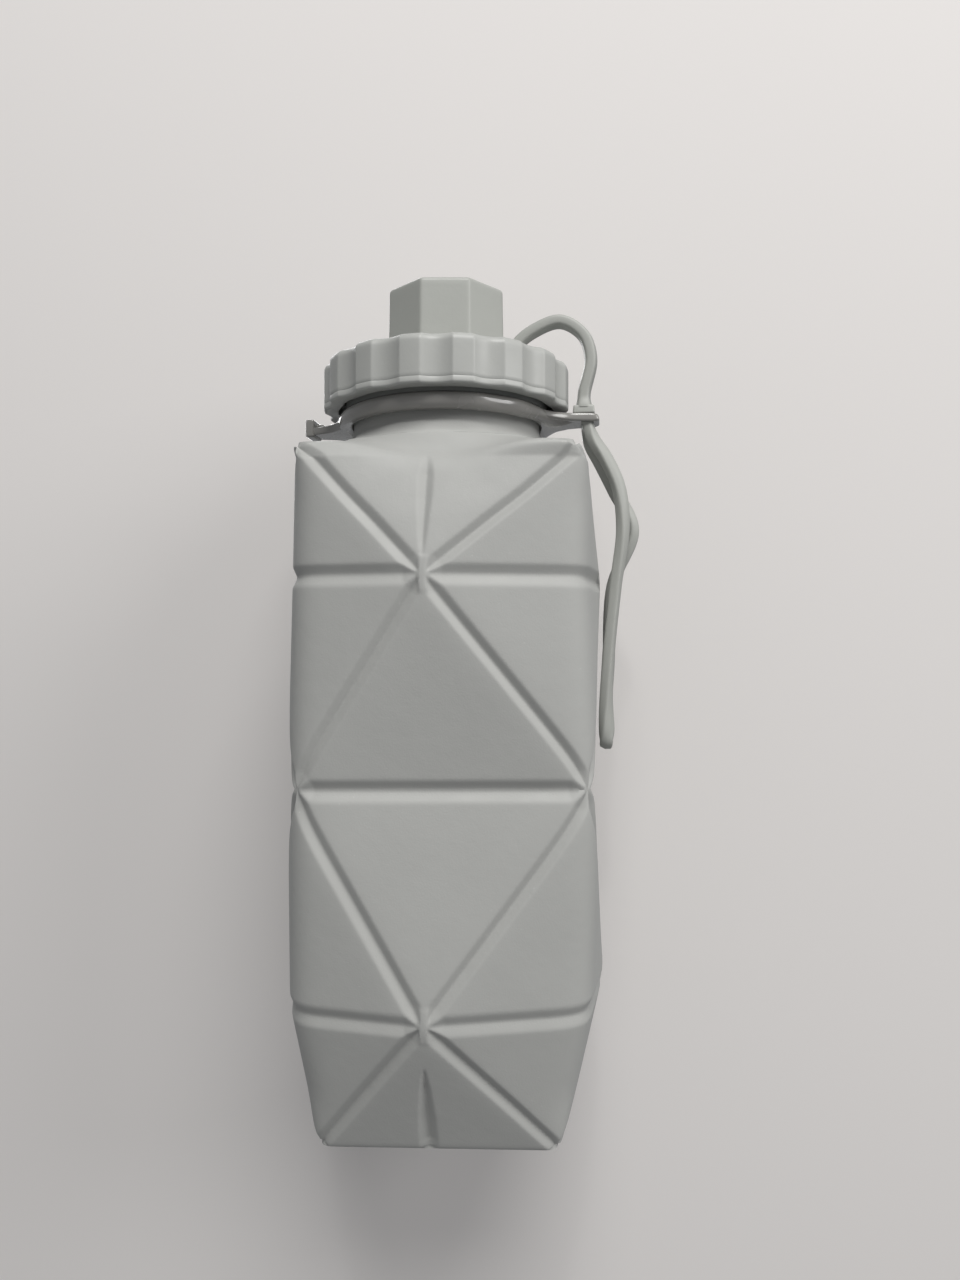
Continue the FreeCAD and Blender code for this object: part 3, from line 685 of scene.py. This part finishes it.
CAP_TURN = math.radians(7.9)
CAP_SIDES = 8
CAP_EDGES = 95                            # the higher, the sharper the edges between the eight sides
CAP_SIDE_LOW, CAP_SIDE_HIGH = 14.97, 14.69    # from the axis to a side, at the bottom and at the top
CAP_BORE, CAP_CEILING = 11.2, 206.7
CAP_HEM, CAP_CROWN = 0.5, 1.1             # radii of the lower and upper outside edges
BESIDE_AXIS = 0.4


def make_cap():
    """The eight-sided screw cap, threaded inside."""
    low, high = box_mm("screw_cap")
    bottom, top = low[2], high[2]
    hollow = profile([(BESIDE_AXIS, CAP_CEILING), (CAP_BORE, CAP_CEILING)], 1.6)
    rows = profile([(CAP_BORE, CAP_CEILING), (CAP_BORE, bottom + 0.4)], 0.25)[1:]
    rows += [(CAP_BORE + 0.15, bottom + 0.1), (CAP_BORE + 0.4, bottom), (CAP_SIDE_LOW - 0.6, bottom)]
    rows += arc(CAP_SIDE_LOW - CAP_HEM, bottom + CAP_HEM, CAP_HEM, -90, 0, 5)
    rows += profile([(CAP_SIDE_LOW, bottom + 0.7), (CAP_SIDE_HIGH, top - 1.2)], 1.2)
    rows += arc(CAP_SIDE_HIGH - CAP_CROWN, top - CAP_CROWN, CAP_CROWN, 0, 90, 7)
    rows += profile([(CAP_SIDE_HIGH - 1.5, top), (BESIDE_AXIS, top)], 1.6)
    eight_sided = np.concatenate([np.zeros(len(hollow)), np.ones(len(rows))])[:, None]
    normals = np.arange(CAP_SIDES) * TAU / CAP_SIDES + CAP_TURN

    def reshape(theta, radius, height):
        facing = np.maximum(np.cos(theta[0][:, None] - normals[None, :]), 0)
        reach = 1 / (facing ** CAP_EDGES).sum(axis=1) ** (1 / CAP_EDGES)
        weight = eight_sided * smoothstep(CAP_BORE + 0.3, CAP_SIDE_HIGH - 3.0, radius)
        changed = radius * (1 + (reach[None, :] - 1) * weight)
        ridge = helix_ridge(np.mod(theta - CAP_TURN, TAU), height, *CAP_THREAD)
        return changed - np.where(np.abs(radius - CAP_BORE) < ON_WALL, ridge, 0)

    columns = 576
    cap = turned("screw_cap_shell", hollow + rows, columns, CAP, reshape, from_axis=True)
    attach(cap, "cap")
    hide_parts("screw_cap")


# ---------------------------------------------------------------- carry ring

RING_BORE, RING_RADIUS = 24.66, 28.6
BEAD_HEIGHT, BEAD_HALF = 176.7, 2.1
BEAD_THINNING = 0.5                       # how much thinner each half of the bead is beside the ears
BEAD_POWER = 2.4                          # 2 would make the bead's section an ellipse
BEAD_TAIL = 0.42                          # share of the ear over which the bead runs out
EAR_HALF_THICKNESS = 1.0
EAR_HEIGHT, EAR_TILT = 176.55, 0.55       # the right ear is one tilt higher than this, the left one lower
RIGHT_EAR_HALF, LEFT_EAR_HALF = 3.9, 3.0
EAR_FLARE = 5.5                           # how much each side of an ear widens at its root
EAR_FLARE_LENGTH = 3.2
EAR_EDGE = 1.1                            # width of the rounding along an ear's edge
# Plates at the left ear's end: name, inset from the end, height, sides, edge radius.
END_PLATES = (("carry_ring_end_plate", 1.3, 176.8, (2.4, 7.0, 4.8), 0.7),
              ("carry_ring_gusset", 3.0, 177.2, (3.0, 1.6, 2.2), 0.5))
# Angles round the ring, in degrees: from, to, step.
RING_SPANS = ((-30, 30, 0.3), (30, 150, 2.0), (150, 210, 0.3), (210, 330, 2.0))


def ear_outline(theta, facing, end, half_width):
    """Distance from the axis to the ring's outline with one ear, whose root sweeps into the ring."""
    off = np.abs(np.mod(theta - facing + math.pi, TAU) - math.pi)
    reach = np.linspace(RING_RADIUS, 2 * end, 200)
    half = half_width + EAR_FLARE * np.exp((RING_RADIUS - reach) / EAR_FLARE_LENGTH)
    side = np.interp(off, np.arcsin(half / reach)[::-1], reach[::-1], right=RING_RADIUS)
    tip = np.where(off < math.radians(70), end / np.maximum(np.cos(off), 0.3), FAR)
    return (side ** -16.0 + tip ** -16.0) ** (-1 / 16)


def ring_section(angle, rim):
    """Radius, underside and top of the ring: rows from the bore to the rim, a column for each angle."""
    steps = (1 - np.cos(np.linspace(0, math.pi, 34))) / 2
    radius = RING_BORE + (rim - RING_BORE) * steps[:, None]
    middle, bead_inner = (RING_BORE + RING_RADIUS) / 2, (RING_RADIUS - RING_BORE) / 2
    bead_outer = bead_inner + BEAD_TAIL * (rim - RING_RADIUS)
    bead_share = np.where(radius < middle, (radius - middle) / bead_inner, (radius - middle) / bead_outer)
    bead_half = BEAD_HALF - BEAD_THINNING * smoothstep(0.75, 0.98, np.abs(np.cos(angle)))[None, :]
    bead = bead_half * (1 - np.abs(np.clip(bead_share, -1, 1)) ** BEAD_POWER) ** (1 / BEAD_POWER)

    to_rim = np.clip((radius - (rim - EAR_EDGE)) / EAR_EDGE, 0, 1)
    ear = EAR_HALF_THICKNESS * np.sqrt(np.maximum(1 - to_rim ** 2, 0))
    ear = ear * smoothstep(RING_BORE, RING_BORE + 1.5, radius)
    lift = EAR_HEIGHT + EAR_TILT * np.cos(angle)[None, :] - BEAD_HEIGHT
    lift = lift * smoothstep(0, EAR_HALF_THICKNESS, ear)
    above = soft_max((bead, np.where(ear > 0, ear + lift, 0)), 7)
    below = soft_max((bead, np.where(ear > 0, ear - lift, 0)), 7)
    return radius, BEAD_HEIGHT - below, BEAD_HEIGHT + above


def make_ring():
    """The glossy ring with an ear on each side, and the plate and gusset at the left ear's end."""
    low, high = box_mm("carry_ring")
    angle = np.radians(np.concatenate([np.arange(*span) for span in RING_SPANS]))
    right = ear_outline(angle, 0.0, high[0], RIGHT_EAR_HALF)
    left = ear_outline(angle, math.pi, -low[0] - 0.3, LEFT_EAR_HALF)
    radius, lower, upper = ring_section(angle, np.maximum(right, left)[None, :])
    radius = np.concatenate([radius, radius[-2:0:-1]])
    height = np.concatenate([lower, upper[-2:0:-1]])
    points = np.stack([radius * np.cos(angle), radius * np.sin(angle), height], axis=-1)
    faces = grid_faces(len(points), len(angle), close_rows=True)
    ring = new_object("carry_ring_bead", points.reshape(-1, 3), faces, RING, 60)

    plates = [bevelled_box(name, (low[0] + inset, 0, height), sides, radius, RING)
              for name, inset, height, sides, radius in END_PLATES]
    for piece in (ring, *plates):
        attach(piece, "neck")
    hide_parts("carry_ring")


# ---------------------------------------------------------------- straps

def spline(points, per_span):
    """A smooth curve through the points (centripetal Catmull-Rom)."""
    points = np.array(points, float)
    p = np.vstack([2 * points[0] - points[1], points, 2 * points[-1] - points[-2]])
    out = []
    for i in range(1, len(p) - 2):
        gaps = [max(np.linalg.norm(p[i + k] - p[i + k - 1]), 1e-6) ** 0.5 for k in range(3)]
        t = np.cumsum([0] + gaps)
        for u in np.linspace(t[1], t[2], per_span, endpoint=False):
            a1 = (t[1] - u) / (t[1] - t[0]) * p[i - 1] + (u - t[0]) / (t[1] - t[0]) * p[i]
            a2 = (t[2] - u) / (t[2] - t[1]) * p[i] + (u - t[1]) / (t[2] - t[1]) * p[i + 1]
            a3 = (t[3] - u) / (t[3] - t[2]) * p[i + 1] + (u - t[2]) / (t[3] - t[2]) * p[i + 2]
            b1 = (t[2] - u) / (t[2] - t[0]) * a1 + (u - t[0]) / (t[2] - t[0]) * a2
            b2 = (t[3] - u) / (t[3] - t[1]) * a2 + (u - t[1]) / (t[3] - t[1]) * a3
            out.append((t[2] - u) / (t[2] - t[1]) * b1 + (u - t[1]) / (t[2] - t[1]) * b2)
    out.append(points[-1])
    return np.array(out)


def strap_section(half_width, half_thick, count):
    """A round-cornered strap section with a shallow rib along the middle of each face."""
    rib_stand, rib_width, corner_power = 0.22, 0.22, 2 / 3.8
    angle = np.arange(count) * TAU / count
    across = half_width * np.sign(np.cos(angle)) * np.abs(np.cos(angle)) ** corner_power
    thick = half_thick * np.sign(np.sin(angle)) * np.abs(np.sin(angle)) ** corner_power
    rib = rib_stand * np.exp(-(across / (rib_width * half_width)) ** 2) * np.sign(thick)
    return np.column_stack([across, thick + rib])


def sweep(name, path, section, first_side, material, scale=None, twist=None):
    """Carries the section along the path with the least twist, with closed ends.

    For each point of the path, scale is (across, thick) and twist is an angle.
    """
    tangent = np.gradient(path, axis=0)
    tangent /= np.linalg.norm(tangent, axis=1, keepdims=True)
    side = np.array(first_side, float)
    rows = []
    for i, (place, ahead) in enumerate(zip(path, tangent)):
        side = side - ahead * side.dot(ahead)
        side /= np.linalg.norm(side)
        up = np.cross(ahead, side)
        angle = 0 if twist is None else twist[i]
        grow = (1, 1) if scale is None else scale[i]
        across = side * math.cos(angle) + up * math.sin(angle)
        thick = up * math.cos(angle) - side * math.sin(angle)
        rows.append(place + section[:, :1] * grow[0] * across + section[:, 1:] * grow[1] * thick)
    vertices, faces = closed_grid(np.array(rows))
    return new_object(name, vertices, faces, material, 60)


# The tether's arch from above its button to the eye round the spout, and the place past which it follows it.
TETHER_ARCH = ((38.1, 0, 192.9), (36.1, 0, 199.4), (30.2, 0, 203.2), (23.6, 0, 201.3),
               (19.0, 0, 197.8), (17.7, 0, 193.5), (17.4, 0, 192.3))
TETHER_SECTION = (2.35, 1.48)             # half width, half thickness
TETHER_ROOT = 0.10                        # share of its length over which the tether widens to its root
TETHER_ROOT_GROWTH = (0.22, 0.30)         # across, thick
BUTTON_RISE = 3.9                         # from the ring's underside to the button's, on top of the ear
BUTTON_ROUND, BUTTON_TAPER = 0.55, 0.93
STEM_RADIUS, HEAD_RADIUS = 1.5, 2.2       # the button's stem in the ear, and its head under the ear
STEM_LOW, STEM_HIGH = 175.9, 178.3


def make_tether():
    """The strap over the lid, and the button and stem that hold it in the right ear."""
    low, high = box_mm("tether_button")
    across, top = (low[0] + high[0]) / 2, high[2]
    path = spline([(across, 0, top - 0.6), (across + 0.1, 0, top + 3.5), *TETHER_ARCH], per_span=14)
    root = smoothstep(TETHER_ROOT, 0.0, np.linspace(0, 1, len(path)))
    grow = np.column_stack([1 + growth * root for growth in TETHER_ROOT_GROWTH])
    section = strap_section(*TETHER_SECTION, count=40)
    strap = sweep("tether_strap_band", path, section, (0, 1, 0), RUBBER, scale=grow)
    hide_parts("tether_strap")
    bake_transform(strap)

    width = high[0] - low[0]
    foot = box_mm("carry_ring")[0][2] + BUTTON_RISE
    button = bevelled_box("tether_button_block", (across, 0, (foot + top) / 2), (width, width, top - foot),
                          BUTTON_ROUND, RUBBER, BUTTON_TAPER)
    stub_rows = [(0.3, low[2]), (HEAD_RADIUS - 0.5, low[2]), (HEAD_RADIUS, low[2] + 0.4),
                 (HEAD_RADIUS, STEM_LOW), (STEM_RADIUS, STEM_LOW), (STEM_RADIUS, STEM_HIGH), (0.3, STEM_HIGH)]
    stub = turned("tether_button_stub", stub_rows, 48, RUBBER, from_axis=True)
    for piece in (button, stub):
        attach(piece, "neck")
    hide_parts("tether_button")


LOOP_TOP = 176.4
LOOP_PIVOT = (37.3, 171.6)                # across, height of the place where the loop swings
LOOP_SECTION = (1.66, 1.40)               # half width, half thickness
LOOP_TWIST = (1.1, 0.7)                   # radians: one slow turn there and back, and a quicker waver


def make_wrist_loop():
    """The long loop of strap that hangs from the right ear: down in front, round and up behind."""
    pivot_across, pivot_height = LOOP_PIVOT
    foot = box_mm("wrist_strap")[0][2] + 1.5
    front = [(37.0, -1.2, LOOP_TOP), (38.9, -1.7, pivot_height), (42.0, -2.2, 166.6), (45.2, -2.6, 159.0),
             (46.3, -2.6, 148.5), (44.5, -2.6, 134.0), (42.8, -2.6, 118.0), (42.0, -2.5, 104.0),
             (42.0, -2.3, foot + 3.0)]
    turn = [(42.1, -1.5, foot + 0.7), (42.1, 0, foot), (42.1, 1.5, foot + 0.7)]
    back = [(42.4, 2.3, foot + 3.0), (42.2, 2.6, 104.0), (42.7, 3.0, 114.0), (43.7, 3.6, 134.0),
            (48.9, 3.0, 148.5), (44.2, 2.6, 159.0), (40.4, 2.2, 166.6), (37.8, 1.7, pivot_height),
            (37.0, 1.2, LOOP_TOP)]
    path = spline(front + turn + back, per_span=12)
    rise = np.linspace(0, 1, len(path))
    twist = LOOP_TWIST[0] * np.sin(rise * math.pi) + LOOP_TWIST[1] * np.sin(rise * 5 * math.pi)
    section = strap_section(*LOOP_SECTION, count=32)
    loop = sweep("wrist_strap_loop", path, section, (0, 1, 0), RUBBER, twist=twist)
    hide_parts("wrist_strap")
    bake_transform(loop)


# ---------------------------------------------------------------- assembly

body, shoulder, split_height = make_soft_body()
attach(body, "base")
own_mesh(body)
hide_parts("base_foot", "folding_wall")
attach(shoulder, "neck")
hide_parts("shoulder")

make_lid()
make_cap()
make_ring()
make_tether()
make_wrist_loop()

for name, finish in (("neck_insert", INSERT), ("lid_gasket", SEAL), ("cap_seal", SEAL),
                     ("tether_collar", RUBBER)):
    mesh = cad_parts[name].data
    mesh.materials.clear()
    mesh.materials.append(finish)


# ---------------------------------------------------------------- camera

CAMERA_DISTANCE = 0.2368
CAMERA_SHIFT = 0.0088                     # to the camera's own right
CAMERA_HEIGHT = 0.1198
CAMERA_AZIMUTH = math.radians(8.0)
LENS = 24.95

azimuth_cos, azimuth_sin = math.cos(CAMERA_AZIMUTH), math.sin(CAMERA_AZIMUTH)
camera_place = (azimuth_sin * CAMERA_DISTANCE + azimuth_cos * CAMERA_SHIFT,
                -azimuth_cos * CAMERA_DISTANCE + azimuth_sin * CAMERA_SHIFT, CAMERA_HEIGHT)
camera = bpy.data.objects.new("camera", bpy.data.cameras.new("camera"))
camera.data.lens = LENS
camera.data.clip_start = 0.005
camera.location = camera_place
camera.rotation_euler = (math.pi / 2, 0, CAMERA_AZIMUTH)
bpy.context.scene.collection.objects.link(camera)
bpy.context.scene.camera = camera


# ---------------------------------------------------------------- stage

REACH = 3.0                               # half the width of each stage surface
TABLE_GAP = 0.0008
FLOOR_GAP = 0.0002
TABLE_BRIGHTNESS = 0.98
FLOOR_BRIGHTNESS = 0.52
STAGE_COLOURS = ((0.76, 0.735, 0.72), (0.73, 0.71, 0.70))
SAME_PLACE = 0.01                         # an eye nearer than this to the camera's place counts as there


def surface_material(name, seen_from_camera, brightness):
    """A pale matte surface that shows only from the camera's place set above, or only from elsewhere."""
    material, tree = empty_material(name)
    link = tree.links.new
    geometry = add_node(tree, "ShaderNodeNewGeometry")
    ray = add_node(tree, "ShaderNodeLightPath")
    back = add_node(tree, "ShaderNodeVectorMath", operation="SCALE")
    link(geometry.outputs["Incoming"], back.inputs[0])
    link(ray.outputs["Ray Length"], back.inputs["Scale"])
    eye = add_node(tree, "ShaderNodeVectorMath", operation="ADD")
    link(geometry.outputs["Position"], eye.inputs[0])
    link(back.outputs[0], eye.inputs[1])
    gap = add_node(tree, "ShaderNodeVectorMath", operation="DISTANCE")
    gap.inputs[1].default_value = camera_place
    link(eye.outputs[0], gap.inputs[0])
    shown = add_node(tree, "ShaderNodeMath", operation="LESS_THAN" if seen_from_camera else "GREATER_THAN")
    shown.inputs[1].default_value = SAME_PLACE
    link(gap.outputs["Value"], shown.inputs[0])

    noise = add_node(tree, "ShaderNodeTexNoise", Scale=6.0)
    shade = add_node(tree, "ShaderNodeMix", data_type="RGBA")
    for index, colour in enumerate(STAGE_COLOURS, start=6):
        shade.inputs[index].default_value = (*(c * brightness for c in colour), 1)
    link(noise.outputs["Fac"], shade.inputs[0])
    diffuse = add_node(tree, "ShaderNodeBsdfDiffuse")
    link(shade.outputs[2], diffuse.inputs["Color"])
    mix = add_node(tree, "ShaderNodeMixShader")
    link(shown.outputs[0], mix.inputs[0])
    link(add_node(tree, "ShaderNodeBsdfTransparent").outputs[0], mix.inputs[1])
    link(diffuse.outputs[0], mix.inputs[2])
    link(mix.outputs[0], add_node(tree, "ShaderNodeOutputMaterial").inputs["Surface"])
    return material


def stage_plane(name, material, corners):
    """A stage surface that catches shadows but sends no light or shadow to the bottle."""
    mesh = bpy.data.meshes.new(name)
    mesh.from_pydata(corners, [], [(0, 1, 2, 3)])
    mesh.materials.append(material)
    plane = bpy.data.objects.new(name, mesh)
    bpy.context.scene.collection.objects.link(plane)
    plane.visible_diffuse = False
    plane.visible_glossy = False
    plane.visible_transmission = False
    plane.visible_shadow = False


SQUARE = ((-REACH, -REACH), (REACH, -REACH), (REACH, REACH), (-REACH, REACH))
stage_plane("table_behind", surface_material("pale_table", True, TABLE_BRIGHTNESS),
            [(x, cad_high[1] + TABLE_GAP, z) for x, z in SQUARE])
stage_plane("floor", surface_material("pale_floor", False, FLOOR_BRIGHTNESS),
            [(x, y, -FLOOR_GAP) for x, y in SQUARE])


# ---------------------------------------------------------------- light

BODY_CENTRE = (0, 0, 0.10)
NECK = (0, 0, 0.17)
WHITE = (1, 1, 1)
SKY_COLOUR = (0.93, 0.94, 0.96, 1)
SKY_STRENGTH = 0.30
# Name, place and target in metres, diameter in metres, power in watts, colour.
LIGHTS = (("key", (0.28, -0.82, 1.28), BODY_CENTRE, 0.80, 16.0, (1.0, 0.99, 0.97)),
          ("side", (1.15, -0.50, 0.75), BODY_CENTRE, 0.80, 8.2, (1.0, 0.99, 0.98)),
          ("streak", (0.06, -0.62, 0.80), NECK, 0.05, 0.45, WHITE),
          ("rear", (-0.50, 1.10, 0.70), BODY_CENTRE, 0.9, 7.0, WHITE))


def area_light(name, place, target, size, power, colour):
    """A round soft light that faces its target."""
    data = bpy.data.lights.new(name, "AREA")
    data.shape = "DISK"
    data.size = size
    data.energy = power
    data.color = colour
    lamp = bpy.data.objects.new(name, data)
    lamp.location = place
    heading = Vector(target) - Vector(place)
    lamp.rotation_euler = heading.to_track_quat("-Z", "Y").to_euler()
    bpy.context.scene.collection.objects.link(lamp)


for light in LIGHTS:
    area_light(*light)

world = bpy.data.worlds.new("studio")
bpy.context.scene.world = world
world.use_nodes = True
background = world.node_tree.nodes["Background"]
background.inputs["Color"].default_value = SKY_COLOUR
background.inputs["Strength"].default_value = SKY_STRENGTH
bpy.context.scene.view_settings.view_transform = "Standard"
